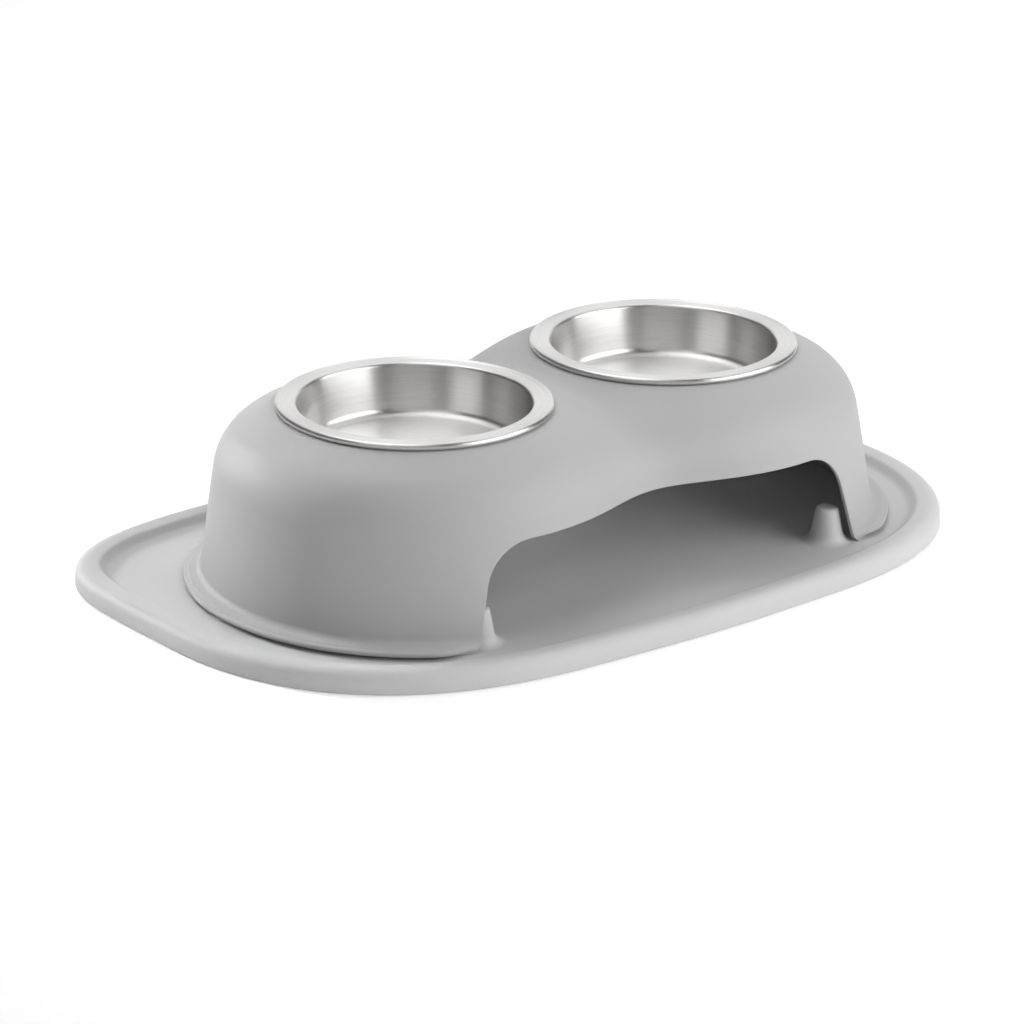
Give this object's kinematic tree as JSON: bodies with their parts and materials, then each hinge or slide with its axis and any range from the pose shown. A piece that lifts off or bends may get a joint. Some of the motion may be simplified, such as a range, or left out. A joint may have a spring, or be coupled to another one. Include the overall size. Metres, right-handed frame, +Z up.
{
  "type": "double pet bowl",
  "caption": "Raised double pet feeder: steel bowls hanging in a two-pod arched stand that stands inside a lipped floor mat.",
  "frame": {"origin": "on the floor, at the middle of the mat's outline seen from above", "axes": "+X from the left bowl to the right bowl, -Y towards the rounder front edge of the mat, +Z up"},
  "size_m": [0.585, 0.3615, 0.126],
  "materials": {
    "mat": "soft matt light grey moulded elastomer with a fine grain",
    "stand": "satin light grey moulded plastic",
    "bowl": "stainless steel, turned and brushed inside, polished rim"
  },
  "bodies": {
    "mat": {"mat": "mat"},
    "stand": {"stand": "stand"},
    "bowl_left": {"bowl_left": "bowl"},
    "bowl_right": {"bowl_right": "bowl"}
  },
  "joints": [
    {"name": "stand_lift", "type": "slide", "parent": "mat", "child": "stand", "axis": [0, 0, 1], "range_m": [0, 0.06]},
    {"name": "bowl_left_lift", "type": "slide", "parent": "stand", "child": "bowl_left", "axis": [0, 0, 1], "range_m": [0, 0.06]},
    {"name": "bowl_right_lift", "type": "slide", "parent": "stand", "child": "bowl_right", "axis": [0, 0, 1], "range_m": [0, 0.06]}
  ]
}
